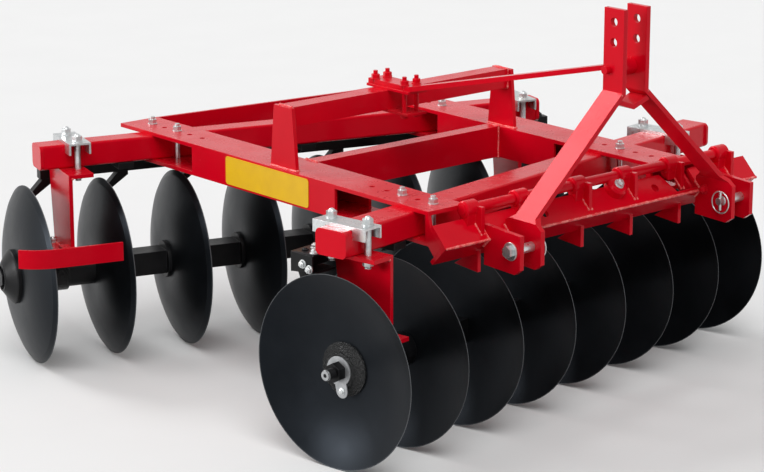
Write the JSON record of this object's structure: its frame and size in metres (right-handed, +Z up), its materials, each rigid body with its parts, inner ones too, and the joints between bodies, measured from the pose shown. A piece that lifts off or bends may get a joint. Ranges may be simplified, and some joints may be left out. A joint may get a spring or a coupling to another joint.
{
  "type": "offset disc harrow",
  "caption": "Mounted offset disc harrow: front and rear gangs of dished discs in a V under a steel frame with a three-point hitch mast.",
  "frame": {"origin": "middle of the machine's footprint, on the ground", "axes": "+X to the machine's right, +Y forward towards the hitch, +Z up"},
  "size_m": [2.1264, 1.9204, 1.218],
  "materials": {
    "red_paint": "gloss",
    "black_paint": "gloss",
    "disc_steel": "satin",
    "zinc_plate": "satin",
    "yellow_paint": "gloss",
    "grey_steel": "satin"
  },
  "bodies": {
    "frame": {"front_bearings": "black_paint", "front_gang_beam": "red_paint", "front_hangers": "red_paint", "front_clamps": "zinc_plate", "front_scraper_bar": "black_paint", "front_scrapers": "black_paint", "rear_bearings": "black_paint", "rear_gang_beam": "red_paint", "rear_hangers": "red_paint", "rear_clamps": "zinc_plate", "rear_scraper_bar": "black_paint", "rear_scrapers": "black_paint", "right_side_beam": "red_paint", "left_side_beam": "red_paint", "angle_bolts": "zinc_plate", "rear_cross_plate": "red_paint", "mid_cross_channel": "red_paint", "headstock_angle": "red_paint", "slide_bar": "red_paint", "right_clevis_plate": "red_paint", "right_mast_leg": "red_paint", "right_hitch_pin": "zinc_plate", "left_clevis_plate": "red_paint", "left_mast_leg": "red_paint", "left_hitch_pin": "zinc_plate", "mast_spacer_tube": "red_paint", "mast_bolt": "red_paint", "right_post": "red_paint", "left_post": "red_paint", "upper_beam": "red_paint", "stay_clamp_plates": "red_paint", "stay_bar": "red_paint", "stay_clamp_bolts": "red_paint", "mast_brace": "red_paint", "slide_bar_lugs": "red_paint", "linch_pins": "zinc_plate", "blank_plate": "yellow_paint", "guard_strip": "red_paint"},
    "front_gang": {"front_discs": "disc_steel", "front_spools": "black_paint", "front_journals": "black_paint", "front_shaft": "black_paint", "front_end_washers": "black_paint", "front_lock_tab": "grey_steel", "front_end_nuts": "black_paint"},
    "rear_gang": {"rear_discs": "disc_steel", "rear_spools": "black_paint", "rear_journals": "black_paint", "rear_shaft": "black_paint", "rear_end_washers": "black_paint", "rear_lock_tab": "grey_steel", "rear_end_nuts": "black_paint"}
  },
  "joints": [
    {"name": "front_gang_spin", "type": "hinge", "parent": "frame", "child": "front_gang", "pos_m": [-0.05932, 0.54676, 0.28], "axis": [0.9877, 0.1564, 0], "continuous": true},
    {"name": "rear_gang_spin", "type": "hinge", "parent": "frame", "child": "rear_gang", "pos_m": [0.05108, -0.44264, 0.28], "axis": [0.9588, -0.284, 0], "continuous": true}
  ]
}
